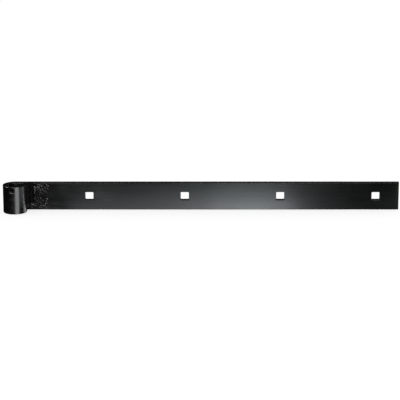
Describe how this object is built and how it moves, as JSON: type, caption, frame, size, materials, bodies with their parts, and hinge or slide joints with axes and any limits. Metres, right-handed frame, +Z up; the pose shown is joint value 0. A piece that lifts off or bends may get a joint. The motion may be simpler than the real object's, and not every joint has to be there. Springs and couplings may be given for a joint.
{
  "type": "door hinge",
  "caption": "Long flat strap of a gate or door band hinge, its end rolled and welded into an eye for a hinge pin, with square bolt holes.",
  "frame": {"origin": "on the axis of the rolled eye's bore, at half the bar's width", "axes": "+Z up the eye's bore, +X along the strap to its free end, -Y the front, towards which the eye is rolled; the +Y face lies against the door"},
  "size_m": [0.6, 0.036, 0.0426],
  "materials": {
    "black_coat": "satin black coating over flat steel bar",
    "coated_weld": "black coating over weld metal, slightly glossier"
  },
  "bodies": {
    "root": {"strap_band": "black_coat", "seam_weld": "coated_weld", "root_weld_top": "coated_weld", "root_weld_bottom": "coated_weld", "weld_spatter": "coated_weld"}
  },
  "joints": []
}
